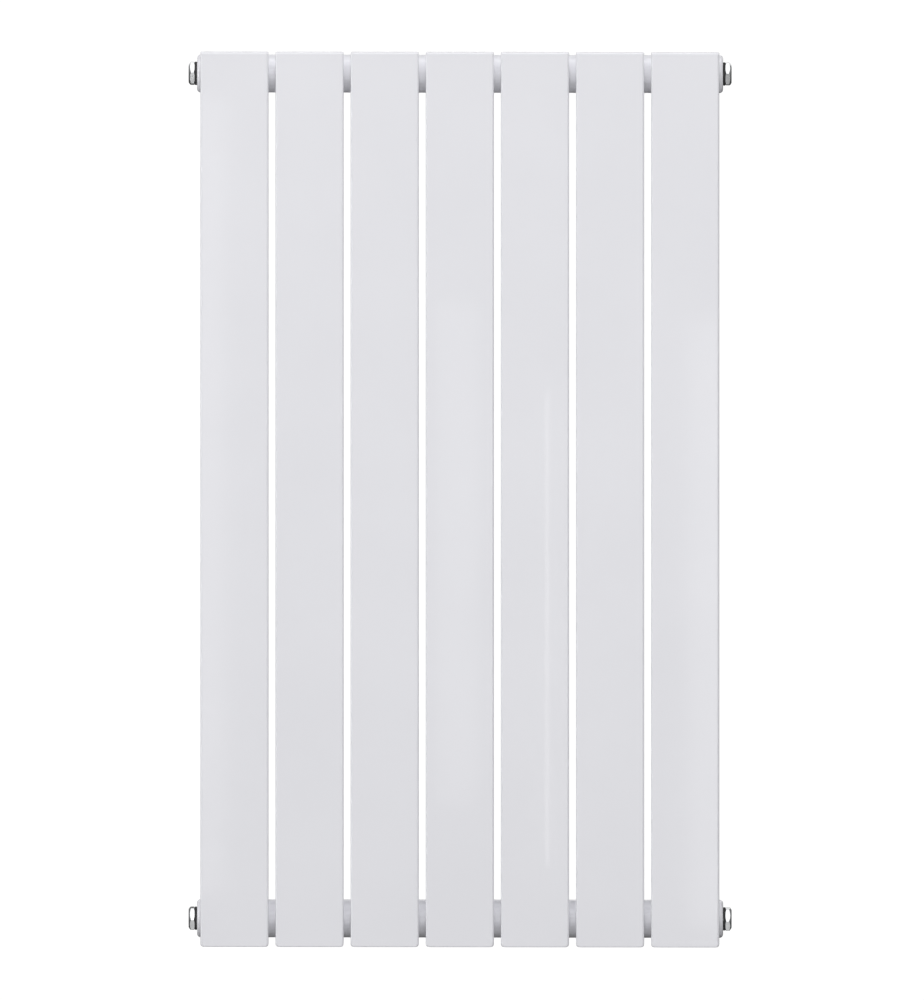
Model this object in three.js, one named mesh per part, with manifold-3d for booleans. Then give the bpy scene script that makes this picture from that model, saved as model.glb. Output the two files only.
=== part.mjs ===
// A vertical flat-tube radiator: seven hollow steel panels on two water headers, with three blanking plugs
// and a bleed valve in the header ends, resting in four depth-adjustable wall brackets.
// Millimetres. +Z is up, the front faces -Y, and the wall is the plane y = 0. The origin is on the wall, in
// the middle of the four brackets.
import * as THREE from "three";
import { mergeVertices } from "three/addons/utils/BufferGeometryUtils.js";
import Module from "manifold-3d";

const wasm = await Module();
wasm.setup();

// ---- Driving dimensions ----

const PANEL = { count: 7, width: 68, pitch: 75, thickness: 10, height: 900, wall: 1.5, edgeRadius: 2.3 };
const CAP = { height: 7, wall: 1.5, topCorner: 1.2, bottomCorner: 3 };
// inset: from a panel's end to the header's axis
const HEADER = { diameter: 38, wall: 2, inset: 25, axisToWall: 59 };
const NECK = { diameter: 20, bore: 16, standOff: 2 }; // pulled collars that carry water into the panels
// stub: what shows past the outer panels
const SOCKET = { length: 14, stub: 3.5, bore: 21, rim: 3.5, spigot: 5 };
const HEAD = { acrossFlats: 22, length: 6.1, seal: 2.3 }; // seal: the squashed ring under the head
// outer and inner: the end faces
const HEAD_CHAMFER = { outer: 18, outerSlope: 0.65, inner: 22.4, innerSlope: 0.6 };
const SHANK = { diameter: 20.4, length: 9, hollow: 14, hollowDepth: 7 };
const SEAL_RING = { inner: 20.9, outer: 23.4 };
const BLEED = { recess: 12, recessDepth: 4.5, square: 5, thread: 5.9, reach: 6.7 };
const BLEED_BORE = { diameter: 6.4, seat: 3, weep: 2 };
const BLEED_SQUARE_TURN = 20; // degrees, where the closed screw stops
const BLEED_TIP = { diameter: 5, length: 1.5, point: 2.4 };
// offset: from the middle, along X
const BRACKET = { offset: 168, strip: 3, width: 24, liner: 2, lipAngle: 45, backRise: 14 };
const SLEEVE = { diameter: 24, length: 28, base: 4, bore: 12.8, screwHole: 5.5 };
const FLANGE = { diameter: 28, thickness: 3 };
const PIN = { diameter: 12, tipFromWall: 9, collar: 18, collarThickness: 2 };
const GRUB = { diameter: 6, hole: 6.4, fromWall: 20.5, socket: 3, socketDepth: 3 };

const GAP = 0.2; // left between pieces that are welded, seated or screwed together
const FIT = 0.3; // around what slides or drops into place
const ROUND = 20; // facets round a turned piece
const FINE_ROUND = 24;
const SMALL_ROUND = 12;

// Each plug stops at its own angle when it is tightened: one flat faces forwards and this many degrees down.
const PLUG_TURN = { top_left: 17, top_right: 19, bottom_left: 30, bottom_right: 34 };

// ---- Worked-out places ----

const panelBack = HEADER.axisToWall + HEADER.diameter / 2 + NECK.standOff; // distance from the wall
const panelMiddle = panelBack + PANEL.thickness / 2;
const panelsHalfWidth = ((PANEL.count - 1) * PANEL.pitch + PANEL.width) / 2;
const socketFace = panelsHalfWidth + SOCKET.stub;
// above the panels' lower ends
const headerHeights = { top: PANEL.height - HEADER.inset, bottom: HEADER.inset };
const radians = THREE.MathUtils.degToRad;

// ---- Finishes ----

function finish(color, roughness, metalness) {
  return new THREE.MeshStandardMaterial({ color, roughness, metalness });
}
const whitePaint = finish(0xe4e4e8, 0.28, 0);
const chrome = finish(0xd8dade, 0.08, 1);
const blackRubber = finish(0x18181a, 0.6, 0);
const brass = finish(0xc9a85a, 0.3, 1);
const sealPolymer = finish(0xeeeee8, 0.5, 0);
const zincPlate = finish(0xb9bec4, 0.35, 1);
const whitePlastic = finish(0xececec, 0.45, 0);
const blackSteel = finish(0x2a2a2c, 0.45, 1);

// ---- Solids ----

// A closed three.js geometry as a manifold-3d solid.
function solid(geometry) {
  const bare = geometry.clone();
  bare.deleteAttribute("normal");
  bare.deleteAttribute("uv");
  const merged = mergeVertices(bare, 1e-4);
  const made = new wasm.Manifold(
    new wasm.Mesh({
      numProp: 3,
      vertProperties: new Float32Array(merged.attributes.position.array),
      triVerts: new Uint32Array(merged.index.array),
    }),
  );
  if (made.volume() <= 0) throw new Error("an outline runs the wrong way round");
  return made;
}

// A manifold-3d solid as a three.js geometry.
function geometryOf(made) {
  const { vertProperties, triVerts } = made.getMesh();
  const geometry = new THREE.BufferGeometry()
    .setAttribute("position", new THREE.BufferAttribute(vertProperties, 3))
    .setIndex(new THREE.BufferAttribute(triVerts, 1));
  geometry.computeVertexNormals();
  return geometry;
}

function roundedRectangle(width, height, radius) {
  const x = width / 2 - radius;
  const y = height / 2 - radius;
  return new THREE.Shape()
    .absarc(x, y, radius, 0, Math.PI / 2)
    .absarc(-x, y, radius, Math.PI / 2, Math.PI)
    .absarc(-x, -y, radius, Math.PI, 1.5 * Math.PI)
    .absarc(x, -y, radius, 1.5 * Math.PI, 2 * Math.PI)
    .closePath();
}

// An outline pushed up +Z from the given level.
function extruded(shape, depth, from = 0, curveSegments = 1) {
  const geometry = new THREE.ExtrudeGeometry(shape, { depth, bevelEnabled: false, curveSegments });
  return solid(geometry.translate(0, 0, from));
}

// A profile of [radius, distance along the axis] turned about +Z. It runs anticlockwise, radius to the right.
function turned(profile, facets = ROUND) {
  const points = profile.map(([radius, along]) => new THREE.Vector2(radius, along));
  return solid(new THREE.LatheGeometry([...points, points[0]], facets).rotateX(Math.PI / 2));
}

function rod(diameter, from, to, facets = ROUND) {
  const radius = diameter / 2;
  return turned([[0, from], [radius, from], [radius, to], [0, to]], facets);
}

// The profile's quarter-round corner from angle a to b, in degrees, about [radius, along].
function corner([radius, along], size, a, b, steps = 3) {
  return Array.from({ length: steps + 1 }, (_, i) => {
    const angle = radians(a + ((b - a) * i) / steps);
    return [radius + size * Math.cos(angle), along + size * Math.sin(angle)];
  });
}

function hexagon(acrossFlats) {
  const radius = acrossFlats / Math.sqrt(3);
  const points = Array.from({ length: 6 }, (_, i) => {
    const angle = radians(30 + 60 * i);
    return new THREE.Vector2(radius * Math.cos(angle), radius * Math.sin(angle));
  });
  return new THREE.Shape(points);
}

// ---- Panels ----

// The flat tube, with a round water way in its rear wall at each header.
function panelTube() {
  const { width, thickness, wall, edgeRadius, height } = PANEL;
  const length = height - 2 * (CAP.height + GAP);
  const section = roundedRectangle(width, thickness, edgeRadius);
  section.holes.push(roundedRectangle(width - 2 * wall, thickness - 2 * wall, edgeRadius - wall));
  const waterWay = rod(NECK.bore, 0, thickness, SMALL_ROUND).rotate([-90, 0, 0]);
  return Object.values(headerHeights).reduce(
    (tube, z) => tube.subtract(waterWay.translate(0, 0, z)),
    extruded(section, length, CAP.height + GAP),
  );
}

// The pressed cap that closes a panel: a shallow cup, open towards +Z, with rounded corners at its foot.
function panelCap(cornerRadius) {
  const { width, thickness, wall, edgeRadius } = PANEL;
  const { height } = CAP;
  const block = extruded(roundedRectangle(width, thickness, edgeRadius), height);
  const outline = roundedRectangle(width, 2 * height, cornerRadius);
  const front = extruded(outline, thickness, -thickness / 2, 2).rotate([90, 0, 0]).translate(0, 0, height);
  const inside = roundedRectangle(width - 4 * wall, thickness - 2 * wall, edgeRadius - wall);
  return block.intersect(front).subtract(extruded(inside, height, CAP.wall));
}

function panel(number, x) {
  const group = new THREE.Group();
  group.position.set(x, -panelMiddle, 0);
  const tube = mesh(`panel_${number}`, geometryOf(panelTube()), whitePaint);
  const bottom = mesh(`panel_${number}_bottom_cap`, geometryOf(panelCap(CAP.bottomCorner)), whitePaint);
  const top = mesh(`panel_${number}_top_cap`, geometryOf(panelCap(CAP.topCorner)), whitePaint);
  top.rotation.y = Math.PI;
  top.position.z = PANEL.height;
  group.add(tube, bottom, top);
  return group;
}

// ---- Headers and their ends ----

// A round header tube along X, with one pulled neck towards each panel.
function headerTube() {
  const { diameter, wall } = HEADER;
  const half = socketFace - SOCKET.length - GAP;
  const alongX = (made) => made.rotate([0, 90, 0]);
  const towardsPanel = (made) => made.rotate([90, 0, 0]);
  const reach = diameter / 2 + NECK.standOff - GAP;
  const neck = towardsPanel(rod(NECK.diameter, 0, reach, SMALL_ROUND));
  const neckBore = towardsPanel(rod(NECK.bore, 0, reach + 1, SMALL_ROUND));
  const places = panelPlaces();
  const outside = places.reduce(
    (made, x) => made.add(neck.translate(x, 0, 0)),
    alongX(rod(diameter, -half, half, FINE_ROUND)),
  );
  const water = places.reduce(
    (made, x) => made.add(neckBore.translate(x, 0, 0)),
    alongX(rod(diameter - 2 * wall, -half - 1, half + 1, FINE_ROUND)),
  );
  return outside.subtract(water);
}

// The turned socket welded into a header's end, along +Z with its outer face at 0. Its bore takes a plug.
function endSocket() {
  const outer = HEADER.diameter / 2;
  const bore = SOCKET.bore / 2;
  const spigotRadius = outer - HEADER.wall - FIT;
  return turned([
    [bore, -SOCKET.length - SOCKET.spigot],
    [spigotRadius, -SOCKET.length - SOCKET.spigot],
    [spigotRadius, -SOCKET.length],
    [outer, -SOCKET.length],
    ...corner([outer - SOCKET.rim, -SOCKET.rim], SOCKET.rim, 0, 90),
    [bore, 0],
  ], FINE_ROUND);
}

const headAt = HEAD.seal + GAP / 2;
const plugTop = headAt + HEAD.length;

// The squashed ring between a plug's head and its socket's face.
function sealRing() {
  const inner = SEAL_RING.inner / 2;
  const outer = SEAL_RING.outer / 2;
  return turned([[inner, GAP / 2], [outer, GAP / 2], [outer, HEAD.seal], [inner, HEAD.seal]]);
}

// A plug's outside: a threaded shank and a hexagon head chamfered at both ends, with the socket's face at 0.
function plugBody() {
  const beyond = HEAD.acrossFlats / Math.sqrt(3) + 1; // just outside the hexagon's corners
  const outer = HEAD_CHAMFER.outer / 2;
  const inner = HEAD_CHAMFER.inner / 2;
  const chamfered = turned([
    [0, headAt],
    [inner, headAt],
    [beyond, headAt + (beyond - inner) * HEAD_CHAMFER.innerSlope],
    [beyond, plugTop - (beyond - outer) * HEAD_CHAMFER.outerSlope],
    [outer, plugTop],
    [0, plugTop],
  ]);
  const head = extruded(hexagon(HEAD.acrossFlats), HEAD.length, headAt).intersect(chamfered);
  return head.add(rod(SHANK.diameter, -SHANK.length, headAt + 1));
}

function blankingPlug() {
  const hollowEnd = SHANK.hollowDepth - SHANK.length;
  return plugBody().subtract(rod(SHANK.hollow, -SHANK.length - 1, hollowEnd, SMALL_ROUND));
}

const recessFloor = plugTop - BLEED.recessDepth;
const screwHeadAt = recessFloor + GAP;
const screwEnd = screwHeadAt - BLEED.reach;
const tipEnd = screwEnd - GAP / 2 - BLEED_TIP.length;

// The plug that holds the bleed screw: a key recess, the screw's bore, a seat for its tip and a weep hole.
function ventPlug() {
  const seatAt = tipEnd - GAP / 2;
  const weepOut = (BLEED_BORE.diameter + BLEED_BORE.weep) / 2 + 0.4;
  const weep = rod(BLEED_BORE.weep, seatAt, recessFloor + 1, SMALL_ROUND / 2);
  const crossing = rod(BLEED_BORE.weep, 0, weepOut, SMALL_ROUND / 2).rotate([0, 90, 0]);
  return plugBody()
    .subtract(rod(BLEED.recess, recessFloor, plugTop + 1))
    .subtract(rod(BLEED_BORE.diameter, seatAt, plugTop, SMALL_ROUND))
    .subtract(rod(BLEED_BORE.seat, -SHANK.length - 1, seatAt + 1, SMALL_ROUND))
    .subtract(weep.translate(weepOut, 0, 0))
    .subtract(crossing.translate(0, 0, seatAt + BLEED_BORE.weep / 2));
}

// The bleed screw: a square for the radiator key on a round threaded shank.
function bleedScrew() {
  const headTop = plugTop - 0.4;
  const square = roundedRectangle(BLEED.square, BLEED.square, 0.5);
  return extruded(square, headTop - screwHeadAt, screwHeadAt).add(
    rod(BLEED.thread, screwEnd, screwHeadAt + 1, SMALL_ROUND),
  );
}

// The soft tip that the bleed screw presses on its seat. It moves along with the screw, but doesn't turn.
function bleedTip() {
  const top = screwEnd - GAP / 2;
  const radius = BLEED_TIP.diameter / 2;
  return turned([
    [0, tipEnd],
    [BLEED_TIP.point / 2, tipEnd],
    [radius, tipEnd + (radius - BLEED_TIP.point / 2) / 2],
    [radius, top],
    [0, top],
  ], SMALL_ROUND);
}

// One end of a header, in a group whose +Z points out of the header. turn is the hexagon's angle in it.
function headerEnd(level, side) {
  const place = `${level}_${side}`;
  const outward = side === "right" ? 1 : -1;
  const group = new THREE.Group();
  group.position.set(outward * socketFace, 0, 0);
  group.rotation.y = (outward * Math.PI) / 2;
  const isVent = place === "top_right";
  const plug = isVent
    ? mesh("bleed_valve_plug", geometryOf(ventPlug()), chrome)
    : mesh(`blanking_plug_${place}`, geometryOf(blankingPlug()), chrome);
  plug.rotation.z = radians(outward * PLUG_TURN[place] - 90);
  group.add(mesh(`port_socket_${place}`, geometryOf(endSocket()), whitePaint));
  group.add(mesh(`plug_seal_${place}`, geometryOf(sealRing()), blackRubber));
  group.add(plug);
  if (isVent) {
    const screw = mesh("bleed_screw", geometryOf(bleedScrew()), brass);
    screw.rotation.z = radians(BLEED_SQUARE_TURN);
    group.add(screw, mesh("bleed_screw_tip", geometryOf(bleedTip()), sealPolymer));
  }
  return group;
}

function header(level) {
  const group = new THREE.Group();
  group.position.set(0, -HEADER.axisToWall, headerHeights[level]);
  group.add(mesh(`header_${level}`, geometryOf(headerTube()), whitePaint));
  group.add(headerEnd(level, "left"), headerEnd(level, "right"));
  return group;
}

// ---- Wall brackets ----

// A J in the YZ plane, round the header's axis: a straight back, a half-round cradle and a short front lip.
function cradle(innerRadius, thickness, rise, width) {
  const outerRadius = innerRadius + thickness;
  const lip = radians(180 + BRACKET.lipAngle);
  const shape = new THREE.Shape()
    .moveTo(outerRadius, rise)
    .lineTo(innerRadius, rise)
    .absarc(0, 0, innerRadius, 0, lip, true)
    .absarc(0, 0, outerRadius, lip, 0, false)
    .closePath();
  // The shape's X is the part's Y, its Y is the part's Z, and it is pushed along the part's X.
  return extruded(shape, width, -width / 2, 6).rotate([90, 0, 90]);
}

// The round sleeve screwed to the wall, along +Z with the wall at 0, with a threaded hole for the grub screw.
function wallSleeve() {
  const radius = SLEEVE.diameter / 2;
  const flange = FLANGE.diameter / 2;
  const bore = SLEEVE.bore / 2;
  const screw = SLEEVE.screwHole / 2;
  const body = turned([
    [screw, 0],
    [flange, 0],
    [flange, FLANGE.thickness],
    [radius, FLANGE.thickness],
    [radius, SLEEVE.length],
    [bore, SLEEVE.length],
    [bore, SLEEVE.base],
    [2 * screw, SLEEVE.base],
    [screw, SLEEVE.base - screw],
  ]);
  const hole = rod(GRUB.hole, 0, radius + 1, SMALL_ROUND).rotate([90, 0, 0]);
  return body.subtract(hole.translate(0, 0, GRUB.fromWall));
}

// The bar that slides in the sleeve, with a collar against the saddle.
function slidePin() {
  const { collarThickness, tipFromWall } = PIN;
  const saddleBack = HEADER.axisToWall - saddleOuter() - GAP;
  return rod(PIN.diameter, tipFromWall, saddleBack - 1, SMALL_ROUND).add(
    rod(PIN.collar, saddleBack - collarThickness, saddleBack, SMALL_ROUND),
  );
}

// The grub screw, along +Z from the pin outwards, with its hexagon socket.
function grubScrew() {
  const from = PIN.diameter / 2 + GAP;
  const to = SLEEVE.diameter / 2;
  const socket = extruded(hexagon(GRUB.socket), GRUB.socketDepth + 1, to - GRUB.socketDepth);
  return rod(GRUB.diameter, from, to, SMALL_ROUND).subtract(socket);
}

const linerInner = () => HEADER.diameter / 2 + FIT;
const saddleInner = () => linerInner() + BRACKET.liner + GAP;
const saddleOuter = () => saddleInner() + BRACKET.strip;

// One bracket, in a group at the wall. Turned parts lie along -Y, out from the wall.
function bracket(level, side) {
  const place = `${level}_${side}`;
  const group = new THREE.Group();
  group.position.set(side === "right" ? BRACKET.offset : -BRACKET.offset, 0, headerHeights[level]);
  const outFromWall = new THREE.Group();
  outFromWall.rotation.x = Math.PI / 2;
  outFromWall.add(mesh(`wall_sleeve_${place}`, geometryOf(wallSleeve()), whitePaint));
  outFromWall.add(mesh(`slide_pin_${place}`, geometryOf(slidePin()), zincPlate));
  const grub = mesh(`grub_screw_${place}`, geometryOf(grubScrew()), blackSteel);
  grub.rotation.x = Math.PI;
  grub.position.y = -GRUB.fromWall;
  const saddle = cradle(saddleInner(), BRACKET.strip, BRACKET.backRise, BRACKET.width);
  const liner = cradle(linerInner(), BRACKET.liner, BRACKET.backRise, BRACKET.width);
  const cradles = new THREE.Group();
  cradles.position.y = -HEADER.axisToWall;
  cradles.add(mesh(`saddle_${place}`, geometryOf(saddle), zincPlate));
  cradles.add(mesh(`saddle_liner_${place}`, geometryOf(liner), whitePlastic));
  group.add(outFromWall, grub, cradles);
  return group;
}

// ---- Assembly ----

function mesh(name, geometry, material) {
  const made = new THREE.Mesh(geometry, material);
  made.name = name;
  return made;
}

function panelPlaces() {
  return Array.from({ length: PANEL.count }, (_, i) => (i - (PANEL.count - 1) / 2) * PANEL.pitch);
}

const radiator = new THREE.Group();
radiator.position.z = -PANEL.height / 2;
panelPlaces().forEach((x, i) => radiator.add(panel(i + 1, x)));
for (const level of ["top", "bottom"]) {
  radiator.add(header(level));
  for (const side of ["left", "right"]) radiator.add(bracket(level, side));
}

export default radiator;
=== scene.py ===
import math

import bmesh
import bpy
from mathutils import Matrix, Vector


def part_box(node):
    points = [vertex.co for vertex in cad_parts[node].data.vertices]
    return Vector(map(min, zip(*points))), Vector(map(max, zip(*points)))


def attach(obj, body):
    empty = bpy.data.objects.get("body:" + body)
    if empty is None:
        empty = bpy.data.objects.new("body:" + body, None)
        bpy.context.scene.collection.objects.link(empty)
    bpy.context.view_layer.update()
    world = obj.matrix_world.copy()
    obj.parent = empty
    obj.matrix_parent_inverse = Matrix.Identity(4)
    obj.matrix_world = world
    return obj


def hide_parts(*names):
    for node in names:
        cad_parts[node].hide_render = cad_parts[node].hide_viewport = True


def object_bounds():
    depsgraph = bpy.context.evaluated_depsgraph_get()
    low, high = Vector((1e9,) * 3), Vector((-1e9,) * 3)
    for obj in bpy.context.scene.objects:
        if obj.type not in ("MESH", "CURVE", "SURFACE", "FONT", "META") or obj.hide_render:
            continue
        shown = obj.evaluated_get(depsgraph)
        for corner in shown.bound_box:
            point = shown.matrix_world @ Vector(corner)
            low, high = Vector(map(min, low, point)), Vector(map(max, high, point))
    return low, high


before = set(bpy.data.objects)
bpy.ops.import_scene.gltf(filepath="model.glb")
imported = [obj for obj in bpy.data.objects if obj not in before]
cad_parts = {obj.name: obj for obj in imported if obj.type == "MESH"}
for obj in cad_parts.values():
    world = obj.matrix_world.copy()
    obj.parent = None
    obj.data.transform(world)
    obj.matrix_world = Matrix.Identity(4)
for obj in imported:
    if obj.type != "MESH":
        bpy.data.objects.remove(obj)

MM = 0.001
CAD_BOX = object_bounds()
LEVELS = ("top", "bottom")
SIDES = ("left", "right")
PLACES = tuple(f"{level}_{side}" for level in LEVELS for side in SIDES)
VENT = "top_right"  # the port that holds the bleed valve
PANELS = range(1, 8)
SMOOTH_BELOW = 32  # degrees between two faces whose edge is drawn smooth
BEVELLED_FROM = math.radians(40)


# ---- Mesh building ----


def mesh_object(name, verts, faces, sharp=SMOOTH_BELOW, bevel=None):
    """A mesh object with outward normals and smooth faces, but sharp edges above an angle in degrees.

    bevel is (width, segments), or None.
    """
    made = bmesh.new()
    points = [made.verts.new(v) for v in verts]
    for face in faces:
        made.faces.new([points[i] for i in face])
    bmesh.ops.remove_doubles(made, verts=made.verts, dist=1e-7)
    bmesh.ops.dissolve_degenerate(made, dist=1e-7, edges=made.edges)
    bmesh.ops.recalc_face_normals(made, faces=made.faces)
    if bevel:
        width, segments = bevel
        hard = [e for e in made.edges if e.is_manifold and e.calc_face_angle(0) > BEVELLED_FROM]
        bmesh.ops.bevel(made, geom=hard, offset=width, segments=segments, profile=0.5, affect="EDGES")
    finish_mesh(made, sharp)
    data = bpy.data.meshes.new(name)
    made.to_mesh(data)
    made.free()
    obj = bpy.data.objects.new(name, data)
    bpy.context.scene.collection.objects.link(obj)
    obj.modifiers.new("weighted", "WEIGHTED_NORMAL").keep_sharp = True
    return obj


def finish_mesh(made, sharp):
    for face in made.faces:
        face.smooth = True
    for edge in made.edges:
        edge.smooth = not edge.is_manifold or edge.calc_face_angle(0) < math.radians(sharp)


def loft(rings, closed=False):
    """Verts and faces of a skin over rings of equal length. An open loft gets a flat face at each end."""
    count = len(rings[0])
    verts = [v for ring in rings for v in ring]
    faces = []
    spans = len(rings) if closed else len(rings) - 1
    for k in range(spans):
        a, b = k * count, ((k + 1) % len(rings)) * count
        for i in range(count):
            j = (i + 1) % count
            faces.append((a + i, a + j, b + j, b + i))
    if not closed:
        faces.append(tuple(range(count))[::-1])
        faces.append(tuple((len(rings) - 1) * count + i for i in range(count)))
    return verts, faces


def merged(parts):
    """Several (verts, faces) as one."""
    verts, faces = [], []
    for some_verts, some_faces in parts:
        base = len(verts)
        verts.extend(some_verts)
        faces.extend(tuple(base + i for i in face) for face in some_faces)
    return verts, faces


def turned(profile, count=64):
    """A closed profile of (radius, along) in metres, turned about +Z."""
    turns = [2 * math.pi * i / count for i in range(count)]
    return loft([[(r * math.cos(t), r * math.sin(t), z) for t in turns] for r, z in profile], closed=True)


def moved(made, place):
    verts, faces = made
    return [place @ Vector(v) for v in verts], faces


def arc(centre, radius, start, end, steps=6):
    """Points of (radius, along) on an arc, with angles in degrees."""
    angles = [math.radians(start + (end - start) * i / steps) for i in range(steps + 1)]
    return [(centre[0] + radius * math.cos(a), centre[1] + radius * math.sin(a)) for a in angles]


def frame_at(origin, outward, front=(0, -1, 0)):
    """A local frame with +Z along outward and +X towards front."""
    z = Vector(outward).normalized()
    x = Vector(front).normalized()
    y = z.cross(x)
    return Matrix.Translation(origin) @ Matrix((x, y, z)).transposed().to_4x4()


def rounded_section(half_width, half_depth, radius, steps=8):
    """A rounded rectangle in XY, anticlockwise."""
    points = []
    for quarter, (sx, sy) in enumerate(((1, 1), (-1, 1), (-1, -1), (1, -1))):
        cx, cy = sx * (half_width - radius), sy * (half_depth - radius)
        for i in range(steps + 1):
            a = math.radians(90 * quarter + 90 * i / steps)
            points.append((cx + radius * math.cos(a), cy + radius * math.sin(a)))
    return points


def cut(obj, cutter):
    """Takes cutter's shape out of obj, and removes cutter."""
    modifier = obj.modifiers.new("cut", "BOOLEAN")
    modifier.object = cutter
    modifier.operation = "DIFFERENCE"
    modifier.solver = "EXACT"
    graph = bpy.context.evaluated_depsgraph_get()
    data = bpy.data.meshes.new_from_object(obj.evaluated_get(graph))
    obj.modifiers.clear()
    obj.modifiers.new("weighted", "WEIGHTED_NORMAL").keep_sharp = True
    old = obj.data
    obj.data = data
    bpy.data.meshes.remove(old)
    bpy.data.objects.remove(cutter)
    made = bmesh.new()
    made.from_mesh(data)
    finish_mesh(made, SMOOTH_BELOW)
    made.to_mesh(data)
    made.free()
    return obj


def place_piece(obj, body, slot, *nodes):
    obj.data.materials.clear()
    obj.data.materials.append(MATERIALS[slot])
    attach(obj, body)
    if nodes:
        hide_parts(*nodes)
    return obj


# ---- Materials ----


class Nodes:
    """A short way to write a material's nodes."""

    def __init__(self, name, **sockets):
        self.material = bpy.data.materials.new(name)
        self.material.use_nodes = True
        self.tree = self.material.node_tree
        self.shader = self.tree.nodes["Principled BSDF"]
        for socket, value in sockets.items():
            self.shader.inputs[socket.replace("_", " ")].default_value = value
        self.where = self.tree.nodes.new("ShaderNodeTexCoord").outputs["Object"]

    def node(self, kind, **inputs):
        node = self.tree.nodes.new(kind)
        for socket, value in inputs.items():
            self.put(node.inputs[socket.replace("_", " ")], value)
        return node

    def put(self, socket, value):
        if isinstance(value, bpy.types.NodeSocket):
            self.tree.links.new(value, socket)
        else:
            socket.default_value = value

    def noise(self, scale, detail=2.0, roughness=0.5, stretch=None):
        where = self.where
        if stretch:
            where = self.node("ShaderNodeVectorMath", Vector=where)
            where.operation = "MULTIPLY"
            where.inputs[1].default_value = stretch
            where = where.outputs[0]
        return self.node(
            "ShaderNodeTexNoise", Vector=where, Scale=scale, Detail=detail, Roughness=roughness
        ).outputs["Fac"]

    def spread(self, noise, low, high):
        """A noise spread from low to high. Its values lie between 0.3 and 0.7 almost everywhere."""
        sockets = {"Value": noise, "From_Min": 0.3, "From_Max": 0.7, "To_Min": low, "To_Max": high}
        return self.node("ShaderNodeMapRange", **sockets).outputs["Result"]

    def colours(self, value, *stops):
        node = self.node("ShaderNodeValToRGB", Fac=value)
        ramp = node.color_ramp
        while len(ramp.elements) < len(stops):
            ramp.elements.new(0.5)
        for element, (place, colour) in zip(ramp.elements, stops):
            element.position = place
            element.color = (*colour, 1)
        return node.outputs["Color"]

    def relief(self, *layers):
        """Bumps of (height, depth in metres, strength), one on top of the other."""
        normal = None
        for height, depth, strength in layers:
            bump = self.node("ShaderNodeBump", Height=height, Distance=depth, Strength=strength)
            if normal:
                self.put(bump.inputs["Normal"], normal)
            normal = bump.outputs["Normal"]
        self.set("Normal", normal)
        return normal

    def set(self, socket, value):
        self.put(self.shader.inputs[socket], value)


def powder_coat():
    """Gloss white powder coat: a soft orange peel under a clear, shiny skin."""
    made = Nodes("white_powder_coat", Coat_Weight=0.55, Coat_Roughness=0.07, IOR=1.5)
    drift = made.noise(9, detail=3)
    made.set("Base Color", made.colours(drift, (0.3, (0.857, 0.857, 0.899)), (0.7, (0.877, 0.877, 0.919))))
    made.set("Roughness", made.spread(made.noise(160, detail=2), 0.3, 0.38))
    peel = made.relief(
        (made.noise(90, detail=1), 1.2e-5, 0.5),
        (made.noise(620, detail=2), 2.5e-6, 0.6),
    )
    made.set("Coat Normal", peel)
    return made.material


def chrome():
    """Bright chrome plate with hair-thin polishing marks."""
    made = Nodes("chrome", Metallic=1.0)
    cloud = made.noise(260, detail=3)
    made.set("Base Color", made.colours(cloud, (0.3, (0.76, 0.77, 0.78)), (0.7, (0.86, 0.87, 0.88))))
    marks = made.noise(900, detail=3, stretch=(9.0, 1.0, 1.0))
    made.set("Roughness", made.spread(marks, 0.05, 0.13))
    made.relief((marks, 1.5e-6, 0.5))
    return made.material


def black_rubber():
    made = Nodes("black_rubber", Metallic=0.0)
    grain = made.noise(1500, detail=3, roughness=0.6)
    made.set("Base Color", made.colours(grain, (0.3, (0.012, 0.012, 0.013)), (0.7, (0.03, 0.03, 0.031))))
    made.set("Roughness", made.spread(grain, 0.5, 0.68))
    made.relief((grain, 2.0e-5, 0.6))
    return made.material


def brass():
    made = Nodes("brass", Metallic=1.0)
    tarnish = made.noise(420, detail=4, roughness=0.6)
    made.set("Base Color", made.colours(tarnish, (0.3, (0.62, 0.44, 0.19)), (0.7, (0.78, 0.6, 0.31))))
    rings = made.noise(2600, detail=1, stretch=(8.0, 1.0, 1.0))
    made.set("Roughness", made.spread(tarnish, 0.2, 0.34))
    made.relief((rings, 4.0e-6, 0.6))
    return made.material


def seal_polymer():
    made = Nodes("seal_polymer", Metallic=0.0)
    cloud = made.noise(700, detail=3)
    made.set("Base Color", made.colours(cloud, (0.3, (0.78, 0.78, 0.74)), (0.7, (0.86, 0.86, 0.83))))
    made.set("Roughness", made.spread(cloud, 0.42, 0.55))
    made.relief((cloud, 1.0e-5, 0.4))
    return made.material


def zinc_plate():
    """Bright zinc on steel: a faint rolled grain with a cloudy blue-grey passivation."""
    made = Nodes("zinc_plate", Metallic=1.0)
    cloud = made.noise(120, detail=4, roughness=0.6)
    made.set(
        "Base Color",
        made.colours(cloud, (0.28, (0.5, 0.52, 0.56)), (0.5, (0.6, 0.62, 0.64)), (0.72, (0.66, 0.66, 0.63))),
    )
    grain = made.noise(1800, detail=2, stretch=(0.08, 1.0, 1.0))
    made.set("Roughness", made.spread(grain, 0.26, 0.42))
    made.relief((grain, 4.0e-6, 0.6))
    return made.material


def white_plastic():
    made = Nodes("white_plastic", Metallic=0.0)
    flow = made.noise(60, detail=2)
    made.set("Base Color", made.colours(flow, (0.3, (0.72, 0.72, 0.71)), (0.7, (0.78, 0.78, 0.77))))
    spark = made.noise(2200, detail=2)
    made.set("Roughness", made.spread(spark, 0.4, 0.55))
    made.relief((spark, 1.0e-5, 0.5))
    return made.material


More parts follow.
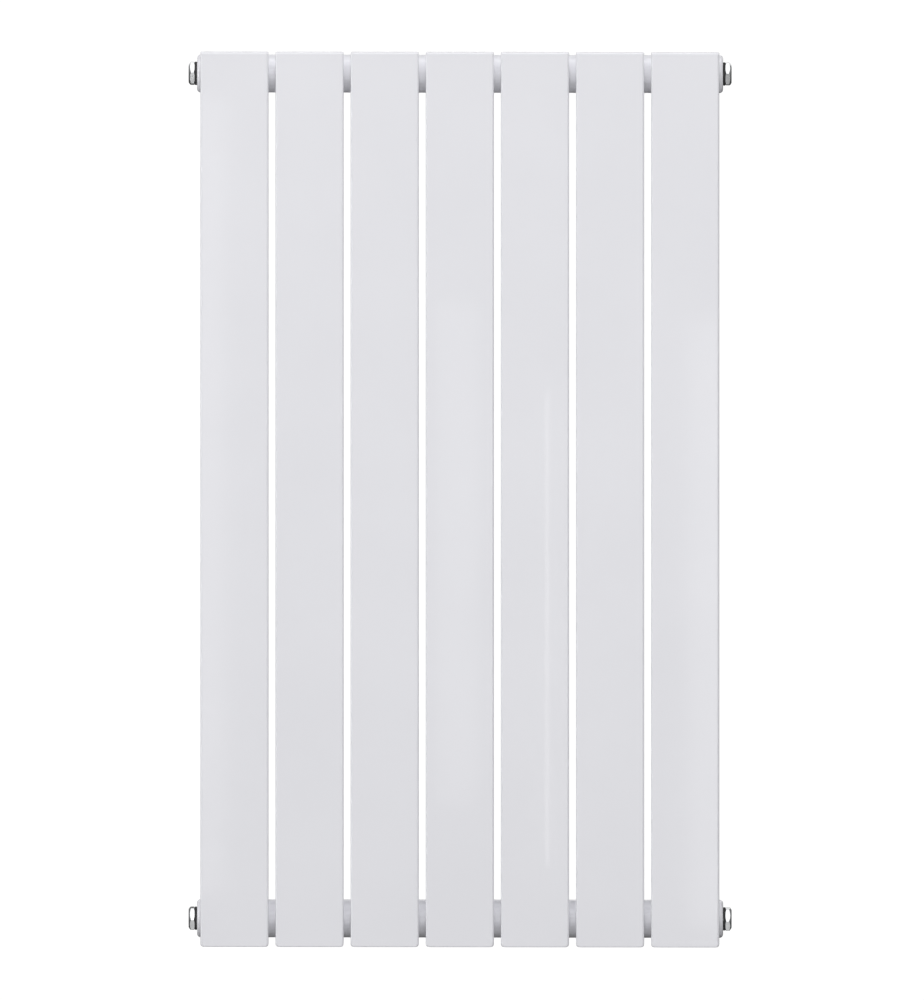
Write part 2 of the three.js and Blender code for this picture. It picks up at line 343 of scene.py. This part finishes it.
def black_steel():
    made = Nodes("black_steel", Metallic=0.9)
    cloud = made.noise(900, detail=4)
    made.set("Base Color", made.colours(cloud, (0.3, (0.02, 0.02, 0.022)), (0.7, (0.05, 0.05, 0.054))))
    made.set("Roughness", made.spread(cloud, 0.35, 0.5))
    made.relief((cloud, 6.0e-6, 0.5))
    return made.material


MATERIALS = {
    "white_powder_coat": powder_coat(),
    "chrome": chrome(),
    "black_rubber": black_rubber(),
    "brass": brass(),
    "seal_polymer": seal_polymer(),
    "zinc_plate": zinc_plate(),
    "white_plastic": white_plastic(),
    "black_steel": black_steel(),
}


# ---- Panels ----

EDGE = 2.3 * MM  # a panel's upright edges
CORNER = {"top": 1.2 * MM, "bottom": 3 * MM}  # its corners, seen from the front
RIM = {"top": 1.5 * MM, "bottom": 0.9 * MM}  # the edges of its ends, front and back
WALL = 1.5 * MM
SEAM = 0.04 * MM  # the ground weld between tube and cap


def panel_box(number):
    """A whole panel's box, with its caps."""
    low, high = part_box(f"panel_{number}")
    low.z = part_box(f"panel_{number}_bottom_cap")[0].z
    high.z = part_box(f"panel_{number}_top_cap")[1].z
    return low, high


def panel_tube(number):
    low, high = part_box(f"panel_{number}")
    whole_low, whole_high = panel_box(number)
    cap_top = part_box(f"panel_{number}_top_cap")[0].z
    cap_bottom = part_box(f"panel_{number}_bottom_cap")[1].z
    middle = (low + high) / 2
    half = (high - low) / 2

    def ring(z, inset, radius):
        section = rounded_section(half.x - inset, half.y - inset, radius)
        return [(middle.x + x, middle.y + y, z) for x, y in section]

    steps = 24
    span = cap_top - cap_bottom
    outer = [ring(cap_bottom, SEAM, EDGE - SEAM)]
    outer += [ring(cap_bottom + SEAM * 2 + (span - SEAM * 4) * k / steps, 0, EDGE) for k in range(steps + 1)]
    outer += [ring(cap_top, SEAM, EDGE - SEAM)]
    inner = [ring(z, WALL, EDGE - WALL) for z in (cap_top, cap_bottom)]
    obj = mesh_object(f"panel_{number}_tube", *loft(outer + inner, closed=True))
    place_piece(obj, "radiator", "white_powder_coat", f"panel_{number}")


def panel_cap(number, level):
    """The pressed cap: its upright edges run on from the tube, and its corners and rims are rounded."""
    node = f"panel_{number}_{level}_cap"
    low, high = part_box(node)
    middle = (low + high) / 2
    half = (high - low) / 2
    up = 1 if level == "top" else -1
    end = high.z if level == "top" else low.z
    seam = low.z if level == "top" else high.z
    height = abs(end - seam)

    corner, rim = CORNER[level], RIM[level]

    def ring(depth, inset=0.0):
        width, thick = half.x, half.y
        if depth < corner:
            width -= corner - math.sqrt(corner**2 - (corner - depth) ** 2)
        if depth < rim:
            thick -= rim - math.sqrt(rim**2 - (rim - depth) ** 2)
        radius = min(EDGE, thick - 0.6 * MM)
        section = rounded_section(width - inset, thick - inset, radius - inset)
        return [(middle.x + x, middle.y + y, end - up * depth) for x, y in section]

    reach = max(corner, rim)
    depths = [reach * (1 - math.cos(math.radians(a))) for a in range(0, 91, 6)]
    rings = [ring(d) for d in depths] + [ring(height - SEAM * 2), ring(height, SEAM)]
    inside = [ring(height, WALL), ring(reach + 0.5 * MM, WALL)]
    obj = mesh_object(f"panel_{number}_{level}_end", *loft(rings + inside))
    place_piece(obj, "radiator", "white_powder_coat", node)


# ---- Headers ----

NECK = 10 * MM  # a neck's radius
NECK_WALL = 2 * MM
FILLET = 1.6 * MM
HEADER_WALL = 2 * MM


def header_axis(level):
    """The y and z of a header's axis, and its radius."""
    low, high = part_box(f"port_socket_{level}_right")
    return (low.y + high.y) / 2, (low.z + high.z) / 2, (high.z - low.z) / 2


def neck_collar(x, y, z, radius, face):
    """A pulled neck with its weld: a collar that flares onto the header and onto the panel's flat back."""
    turns = [2 * math.pi * i / 56 for i in range(56)]
    steps = 12

    def ring(reach, t):
        points = []
        for a in turns:
            dx, dz = reach * math.cos(a), reach * math.sin(a)
            start = y - math.sqrt(radius**2 - dz**2) + 0.3 * MM
            points.append((x + dx, start + (face - 0.05 * MM - start) * t, z + dz))
        return points

    def flared(t):
        return NECK + FILLET * (max(0, 1 - t / 0.3) ** 2 + max(0, (t - 0.7) / 0.3) ** 2)

    stations = [k / steps for k in range(steps + 1)]
    outside = [ring(flared(t), t) for t in stations]
    inside = [ring(NECK - NECK_WALL, t) for t in reversed(stations)]
    return loft(outside + inside, closed=True)


def header(level):
    y, z, radius = header_axis(level)
    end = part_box(f"header_{level}")[1].x + 0.2 * MM
    inside = radius - HEADER_WALL
    place = Matrix.Translation((0, y, z)) @ Matrix.Rotation(math.pi / 2, 4, "Y")
    stations = [end * (k / 12 - 1) for k in range(25)]
    tube = turned([(radius, s) for s in stations] + [(inside, s) for s in reversed(stations)], 96)
    parts = [moved(tube, place)]
    for number in PANELS:
        low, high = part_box(f"panel_{number}")
        parts.append(neck_collar((low.x + high.x) / 2, y, z, radius, high.y))
    obj = mesh_object(f"header_{level}_tube", *merged(parts))
    place_piece(obj, "radiator", "white_powder_coat", f"header_{level}")


def end_frame(place):
    """A local frame on a port's outer face, with +Z out of the header."""
    low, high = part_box(f"port_socket_{place}")
    outward = 1 if place.endswith("right") else -1
    face = high.x if outward > 0 else low.x
    origin = (face, (low.y + high.y) / 2, (low.z + high.z) / 2)
    return frame_at(origin, (outward, 0, 0)), outward


BORE = 10.5 * MM  # the port's radius
SOCKET = 14 * MM  # its length outside the header
SPIGOT = 4.8 * MM  # and what goes into the header
SOCKET_ROUND = 3.5 * MM
WELD_HALF, WELD_RISE = 1.4 * MM, 0.75 * MM


def port_socket(place):
    at, _ = end_frame(place)
    radius = header_axis(place.split("_")[0])[2]
    spigot = radius - 2.3 * MM
    profile = [(BORE, -SOCKET - SPIGOT), (spigot, -SOCKET - SPIGOT), (spigot, -SOCKET - WELD_HALF)]
    for k in range(9):
        profile.append(
            (radius + WELD_RISE * math.sin(math.pi * k / 8), -SOCKET - WELD_HALF + 2 * WELD_HALF * k / 8)
        )
    profile += arc((radius - SOCKET_ROUND, -SOCKET_ROUND), SOCKET_ROUND, 0, 90, 10)
    profile += [(BORE + 0.7 * MM, 0), (BORE, -0.7 * MM)]
    obj = mesh_object(f"port_{place}", *moved(turned(profile, 96), at))
    place_piece(obj, "radiator", "white_powder_coat", f"port_socket_{place}")


# ---- Plugs ----

FLAT = 11 * MM  # half of the hexagon's width across flats
CORNER_OFF = 0.2 * MM  # taken off the hexagon's corners
# How far each plug has turned when it is tight, in degrees: one flat faces forwards and this far down.
TURN = {"top_left": 17, "top_right": 19, "bottom_left": 30, "bottom_right": 34}
SCREW_BORE = 3.2 * MM  # the radius of the bleed screw's bore
RECESS, RECESS_DEPTH = 6 * MM, 4.5 * MM  # the key recess's radius and depth
SHANK_BORE = 7 * MM


def hexagon_turns(corner_radius):
    """Angles round a hexagon with rounded corners, as (angle, radius), from one flat's middle."""
    edge = math.degrees(math.acos(FLAT / corner_radius))
    points = []
    for k in range(6):
        for i in range(-6, 7):
            a = edge * i / 6
            points.append((60 * k + a, FLAT / math.cos(math.radians(a))))
        for i in (1, 2, 3):
            points.append((60 * k + edge + (60 - 2 * edge) * i / 4, corner_radius))
    return points


FACE, FACE_SLOPE = 9 * MM, 0.65  # the head's outer end face and the slope of its chamfer
SEAT, SEAT_SLOPE = 11.2 * MM, 0.6  # the same at the seal


def hexagon_head(base, top, turn, recessed):
    """A hexagon chamfered at both ends, from base to top, with a key recess or a centre mark in its end."""
    corner = FLAT / math.cos(math.radians(30))
    turns = [(math.radians(a + turn), r) for a, r in hexagon_turns(corner - CORNER_OFF)]

    def ring(reach, height):
        return [(reach(r) * math.cos(a), reach(r) * math.sin(a), height(r)) for a, r in turns]

    def seat_edge(r):
        return base + max(0.1 * MM, (r - SEAT) * SEAT_SLOPE + 0.1 * MM)

    def face_edge(r):
        return top - (r - FACE) * FACE_SLOPE

    soft = 0.1 * MM
    rings = [
        ring(lambda r: 10 * MM, lambda r: base),
        ring(lambda r: min(r - 0.15 * MM, SEAT), lambda r: base),
        ring(lambda r: r - 0.06 * MM, lambda r: seat_edge(r) - 0.03 * MM),
        ring(lambda r: r, lambda r: seat_edge(r) + soft),
        ring(lambda r: r, lambda r: face_edge(r) - soft),
        ring(lambda r: r - soft * 0.7, lambda r: face_edge(r - soft * 0.7) - 0.01 * MM),
        ring(lambda r: (r + FACE) / 2, lambda r: face_edge((r + FACE) / 2)),
        ring(lambda r: FACE + 0.2 * MM, lambda r: face_edge(FACE + 0.2 * MM)),
        ring(lambda r: FACE - 0.2 * MM, lambda r: top),
    ]
    if recessed:
        middle = [
            (RECESS + 0.5 * MM, top),
            (RECESS, top - 0.5 * MM),
            (RECESS, top - RECESS_DEPTH),
            (SCREW_BORE, top - RECESS_DEPTH),
            (SCREW_BORE, base),
        ]
    else:
        middle = [
            (7.2 * MM, top),
            (6.8 * MM, top - 0.3 * MM),
            (1.2 * MM, top - 0.3 * MM),
            (0, top - 0.9 * MM),
            (0, base),
        ]
    for reach, height in middle:
        rings.append([(reach * math.cos(a), reach * math.sin(a), height) for a, _ in turns])
    return loft(rings, closed=True)


# Threads, as (radius, pitch, depth).
PLUG_THREAD = (10.2 * MM, 1.814 * MM, 0.9 * MM)
SCREW_THREAD = (2.95 * MM, 1.0 * MM, 0.5 * MM)


def threaded(radius, pitch, depth, start, end, inside, count):
    """A screw thread between start and end, with a bore of radius inside."""
    rows = max(8, int((end - start) / pitch * 8))
    turns = [2 * math.pi * i / count for i in range(count)]
    rings = []
    for k in range(rows + 1):
        z = start + (end - start) * k / rows
        fade = min(1.0, k / 6, (rows - k) / 6)
        ring = []
        for a in turns:
            phase = (z / pitch - a / (2 * math.pi)) % 1
            crest = min(1.0, max(0.0, 1.6 - abs(phase - 0.5) * 4))
            r = radius - depth + depth * crest * fade
            ring.append((r * math.cos(a), r * math.sin(a), z))
        rings.append(ring)
    for z in (end, start):
        rings.append([(inside * math.cos(a), inside * math.sin(a), z) for a in turns])
    return loft(rings, closed=True)


def plug_levels(place):
    """How far the head's base and top stand from the port's face, and the shank's inner end."""
    node = "bleed_valve_plug" if place == VENT else f"blanking_plug_{place}"
    low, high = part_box(node)
    seal_low, seal_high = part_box(f"plug_seal_{place}")
    socket_low, socket_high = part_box(f"port_socket_{place}")
    if place.endswith("right"):
        face = socket_high.x
        return node, seal_high.x - face + 0.05 * MM, high.x - face, low.x - face
    face = socket_low.x
    return node, face - seal_low.x + 0.05 * MM, face - low.x, face - high.x


def plug(place):
    at, outward = end_frame(place)
    node, base, top, shank = plug_levels(place)
    head = hexagon_head(base, top, outward * TURN[place], place == VENT)
    inside = SCREW_BORE if place == VENT else SHANK_BORE
    screw = threaded(*PLUG_THREAD, shank, base, inside, 72)
    obj = mesh_object(f"{node}_body", *moved(merged([head, screw]), at), sharp=24)
    place_piece(obj, "radiator", "chrome", node)
    seal(place, at, base)


def seal(place, at, thickness):
    """The rubber ring under a plug's head, squashed to a soft rectangle."""
    inner, outer = 10.45 * MM, 11.7 * MM
    low, high = 0.1 * MM, thickness - 0.05 * MM
    half = ((outer - inner) / 2, (high - low) / 2)
    centre = ((outer + inner) / 2, (high + low) / 2)
    profile = []
    for k in range(28):
        a = 2 * math.pi * k / 28
        c, s = math.cos(a), math.sin(a)
        across = half[0] * math.copysign(abs(c) ** 0.7, c)
        along = half[1] * math.copysign(abs(s) ** 0.8, s)
        profile.append((centre[0] + across, centre[1] + along))
    obj = mesh_object(f"o_ring_{place}", *moved(turned(profile, 96), at))
    place_piece(obj, "radiator", "black_rubber", f"plug_seal_{place}")


def bleed_screw():
    at, _ = end_frame(VENT)
    low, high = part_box("bleed_screw")
    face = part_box(f"port_socket_{VENT}")[1].x
    start, end = low.x - face, high.x - face
    shoulder = end - 3.9 * MM  # the square head's inner end
    turn = Matrix.Rotation(math.radians(20), 4, "Z")
    half = 2.5 * MM  # half of the square's width
    rings = []
    for z, size, radius in (
        (shoulder, half, 0.5 * MM),
        (end - 0.6 * MM, half, 0.5 * MM),
        (end - 0.15 * MM, half - 0.3 * MM, 0.6 * MM),
        (end, half - 0.7 * MM, 0.6 * MM),
    ):
        rings.append([(x, y, z) for x, y in rounded_section(size, size, radius, 4)])
    square = loft(rings)
    shank = threaded(*SCREW_THREAD, start, shoulder + 0.2 * MM, 0.0, 40)
    obj = mesh_object("bleed_screw_body", *moved(merged([square, shank]), at @ turn), sharp=24)
    place_piece(obj, "bleed_screw", "brass", "bleed_screw")


# ---- Wall brackets ----


def outward_frame(node):
    """A local frame on the wall behind a bracket piece, with +Z out into the room."""
    low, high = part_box(node)
    return frame_at(((low.x + high.x) / 2, high.y, (low.z + high.z) / 2), (0, -1, 0), (1, 0, 0))


def wall_sleeve(place):
    node = f"wall_sleeve_{place}"
    at = outward_frame(node)
    low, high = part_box(node)
    length = high.y - low.y
    flange, body, bore, screw = (high.x - low.x) / 2, 12 * MM, 6.4 * MM, 2.75 * MM
    thick, base = 3 * MM, 4 * MM  # the flange, and the wall at the bore's foot with the screw's countersink
    profile = [(screw, 0), (flange - 0.4 * MM, 0), (flange, 0.4 * MM)]
    profile += arc((flange - 1.2 * MM, thick - 1.2 * MM), 1.2 * MM, 0, 90)
    for a in range(0, 91, 15):
        turn = math.radians(a)
        profile.append((body + 0.8 * MM * (1 - math.sin(turn)), thick + 2 * MM * (1 - math.cos(turn))))
    profile += arc((body - 1 * MM, length - 1 * MM), 1 * MM, 0, 90)
    profile += [(bore + 0.6 * MM, length), (bore, length - 0.6 * MM), (bore, base)]
    profile += [(2 * screw, base), (screw, base - screw)]
    obj = mesh_object(f"bracket_sleeve_{place}", *moved(turned(profile, 72), at))
    grub_low, grub_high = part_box(f"grub_screw_{place}")
    centre = (grub_low + grub_high) / 2
    down = frame_at((centre.x, centre.y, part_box(node)[0].z + 16 * MM), (0, 0, -1), (1, 0, 0))
    drill = turned([(0, 0), (3.2 * MM, 0), (3.2 * MM, 20 * MM), (0, 20 * MM)], 40)
    cut(obj, mesh_object("drill", *moved(drill, down)))
    place_piece(obj, "wall_sleeves", "white_powder_coat", node)


def slide_pin(place):
    node = f"slide_pin_{place}"
    at = outward_frame(node)
    low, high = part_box(node)
    length = high.y - low.y
    rod, collar, thick = 6 * MM, 9 * MM, 2 * MM
    fillet = 1 * MM
    step = length - thick  # where the collar begins
    profile = [(0, 0), (rod - 1 * MM, 0), (rod, 1 * MM), (rod, step - fillet)]
    for a in range(15, 91, 15):
        turn = math.radians(a)
        profile.append((rod + fillet * (1 - math.cos(turn)), step - fillet + fillet * math.sin(turn)))
    profile += [(collar - 0.4 * MM, step), (collar, step + 0.4 * MM), (collar, length), (0, length)]
    obj = mesh_object(f"bracket_pin_{place}", *moved(turned(profile, 64), at))
    place_piece(obj, "bracket_arms", "zinc_plate", node)


LIP = 135  # degrees that a cradle runs round under the header, from behind it to its front lip


def cradle(node, name, slot, thickness):
    """A J-shaped strip round the header: a straight back, a half-round cradle and a short front lip."""
    low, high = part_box(node)
    y, z, _ = header_axis(node.split("_")[-2])
    outer = high.y - y
    inner = outer - thickness
    rise = high.z - z
    outline = [(outer, rise), (inner, rise)]
    outline += arc((0, 0), inner, 0, -LIP, LIP // 5)
    outline += arc((0, 0), outer, -LIP, 0, LIP // 5)
    rings = [[(x, y + a, z + b) for a, b in outline] for x in (low.x, high.x)]
    obj = mesh_object(name, *loft(rings), bevel=(0.45 * MM, 3))
    place_piece(obj, "bracket_arms", slot, node)


# ---- Making it all ----

for number in PANELS:
    panel_tube(number)
    for level in LEVELS:
        panel_cap(number, level)
for level in LEVELS:
    header(level)
for place in PLACES:
    port_socket(place)
    plug(place)
    wall_sleeve(place)
    slide_pin(place)
    cradle(f"saddle_{place}", f"bracket_saddle_{place}", "zinc_plate", 3 * MM)
    cradle(f"saddle_liner_{place}", f"bracket_liner_{place}", "white_plastic", 2 * MM)
bleed_screw()

CARRIED = {"bleed_screw_tip": "seal_polymer", **{f"grub_screw_{place}": "black_steel" for place in PLACES}}
for node, slot in CARRIED.items():
    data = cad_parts[node].data
    data.materials.clear()
    data.materials.append(MATERIALS[slot])


# ---- Studio ----

VIEW_ELEVATION = 7.2
VIEW_AZIMUTH = 0.6
VIEW_HEIGHT = 1 / 1.0018  # metres that the picture's height covers
VIEW_SHIFT = (0.0022, 0.0)  # the object's middle stands this far left of and above the picture's middle


def camera():
    """A camera without perspective, level with the radiator's front and looking slightly down on it."""
    low, high = CAD_BOX
    centre = Vector(((low.x + high.x) / 2, low.y, (low.z + high.z) / 2))
    a, e = math.radians(VIEW_AZIMUTH), math.radians(VIEW_ELEVATION)
    back = Vector((math.sin(a) * math.cos(e), -math.cos(a) * math.cos(e), math.sin(e)))
    data = bpy.data.cameras.new("camera")
    data.type = "ORTHO"
    data.ortho_scale = VIEW_HEIGHT
    data.clip_end = 50
    obj = bpy.data.objects.new("camera", data)
    obj.rotation_mode = "QUATERNION"
    obj.rotation_quaternion = (-back).to_track_quat("-Z", "Y")
    right = obj.rotation_quaternion @ Vector((1, 0, 0))
    up = obj.rotation_quaternion @ Vector((0, 1, 0))
    obj.location = centre + back * 4 + right * VIEW_SHIFT[0] + up * VIEW_SHIFT[1]
    bpy.context.scene.collection.objects.link(obj)
    bpy.context.scene.camera = obj


def softbox(name, location, aim, size, watts, seen):
    data = bpy.data.lights.new(name, "AREA")
    data.shape = "RECTANGLE"
    data.size, data.size_y = size
    data.energy = watts
    obj = bpy.data.objects.new(name, data)
    obj.location = location
    obj.rotation_mode = "QUATERNION"
    obj.rotation_quaternion = (Vector(aim) - Vector(location)).to_track_quat("-Z", "Y")
    obj.visible_camera = False
    obj.visible_glossy = seen != "light"
    obj.visible_diffuse = seen != "card"
    bpy.context.scene.collection.objects.link(obj)


def studio_floor():
    """A wide pale floor that shows white and takes no part in the lighting."""
    half = 60
    level = CAD_BOX[0].z - 0.1
    made = bmesh.new()
    corners = ((-half, -half), (half, -half), (half, half), (-half, half))
    made.faces.new([made.verts.new((x, y, level)) for x, y in corners])
    data = bpy.data.meshes.new("floor")
    made.to_mesh(data)
    made.free()
    floor = bpy.data.objects.new("floor", data)
    bpy.context.scene.collection.objects.link(floor)
    paint = bpy.data.materials.new("floor")
    paint.use_nodes = True
    nodes, links = paint.node_tree.nodes, paint.node_tree.links
    nodes.clear()
    glow = nodes.new("ShaderNodeEmission")
    glow.inputs["Color"].default_value = (1, 1, 1, 1)
    glow.inputs["Strength"].default_value = 1.05
    clear = nodes.new("ShaderNodeBsdfTransparent")
    side = nodes.new("ShaderNodeNewGeometry")
    mix = nodes.new("ShaderNodeMixShader")
    out = nodes.new("ShaderNodeOutputMaterial")
    links.new(side.outputs["Backfacing"], mix.inputs[0])
    links.new(glow.outputs[0], mix.inputs[1])
    links.new(clear.outputs[0], mix.inputs[2])
    links.new(mix.outputs[0], out.inputs["Surface"])
    data.materials.append(paint)
    for ray in ("diffuse", "glossy", "transmission", "volume_scatter", "shadow"):
        setattr(floor, f"visible_{ray}", False)


# Each light's place, what it points at, its size, its power in watts, and what it is: a light that isn't
# mirrored, a card that is only mirrored, or both.
LIGHTS = {
    "front": ((0, -3.4, 0.5), (0, 0, 0.4), (3.0, 4.2), 47, "both"),
    "side_left": ((-3.0, -0.5, 0.1), (0, -0.09, 0), (0.7, 2.4), 30, "both"),
    "side_right": ((2.6, -1.3, 0.2), (0, -0.05, 0), (1.2, 2.4), 8, "both"),
    "above": ((0, -1.1, 2.3), (0, -0.6, 0.0), (2.8, 3.8), 27, "both"),
    "top": ((0, -0.1, 2.1), (0, -0.1, 0), (2.6, 0.3), 3, "both"),
    "below": ((0, -1.3, -1.4), (0, -1.3, 0), (3.0, 2.6), 8, "card"),
    "behind": ((0, 3.2, 1.2), (0, 0, 0), (3.0, 2.2), 60, "light"),
    "backdrop": ((0, 2.5, 0.8), (0, 0, 0.55), (3.6, 1.2), 9, "card"),
}
# Pale streaks that the glossy panels mirror: the panel, the streak's share of it from left to right and from
# bottom to top, how far in front of the panel its card stands, and the card's brightness.
STREAKS = (
    (1, (-0.4, 0.36), (0.06, 0.95), 1.1, 1.8),
    (4, (0.16, 0.75), (0.16, 0.72), 0.4, 0.95),
    (5, (0.65, 0.71), (0.09, 0.62), 0.14, 2.4),
    (7, (0.55, 1.4), (0.02, 0.7), 1.1, 1.9),
)
SKY = 0.49  # soft light from all round
# Its share at each height, from straight down (0) to straight up (1).
SKY_UP = ((0.0, 0.7), (0.12, 0.2), (0.33, 0.3), (0.45, 0.6), (0.55, 0.85), (1.0, 1.0))
SKY_BACK = 0.45  # how much of it comes from behind the radiator


def sky():
    """Soft light from all round: brighter above and in front, dimmer below and behind."""
    world = bpy.data.worlds.new("studio")
    bpy.context.scene.world = world
    world.use_nodes = True
    nodes, links = world.node_tree.nodes, world.node_tree.links
    split = nodes.new("ShaderNodeSeparateXYZ")
    links.new(nodes.new("ShaderNodeTexCoord").outputs["Generated"], split.inputs[0])
    height = nodes.new("ShaderNodeMapRange")
    height.inputs["From Min"].default_value = -1
    links.new(split.outputs["Z"], height.inputs["Value"])
    ramp = nodes.new("ShaderNodeValToRGB")
    links.new(height.outputs["Result"], ramp.inputs["Fac"])
    elements = ramp.color_ramp.elements
    while len(elements) < len(SKY_UP):
        elements.new(0.5)
    for element, (place, level) in zip(elements, SKY_UP):
        element.position = place
        element.color = (level, level, level, 1)
    back = nodes.new("ShaderNodeMapRange")
    back.interpolation_type = "SMOOTHSTEP"
    for socket, value in (("From Min", -0.3), ("From Max", 0.7), ("To Min", SKY), ("To Max", SKY * SKY_BACK)):
        back.inputs[socket].default_value = value
    links.new(split.outputs["Y"], back.inputs["Value"])
    links.new(ramp.outputs["Color"], nodes["Background"].inputs["Color"])
    links.new(back.outputs["Result"], nodes["Background"].inputs["Strength"])


def streak(number, across, up, distance, glow):
    """A card that the camera sees mirrored in a panel."""
    low, high = panel_box(number)
    left, right = (low.x + (high.x - low.x) * share for share in across)
    bottom, top = (low.z + (high.z - low.z) * share for share in up)
    a, e = math.radians(VIEW_AZIMUTH), math.radians(VIEW_ELEVATION)
    x = (left + right) / 2 - distance * math.tan(a)
    z = (bottom + top) / 2 - distance * math.tan(e) / math.cos(a)
    y = low.y - distance
    size = (right - left, top - bottom)
    softbox(f"streak_{number}", (x, y, z), (x, y + 1, z), size, glow * math.pi * size[0] * size[1], "card")


camera()
studio_floor()
sky()
for name, light in LIGHTS.items():
    softbox(name, *light)
for numbers in STREAKS:
    streak(*numbers)
bpy.context.scene.view_settings.view_transform = "Standard"
bpy.context.scene.cycles.max_bounces = 8
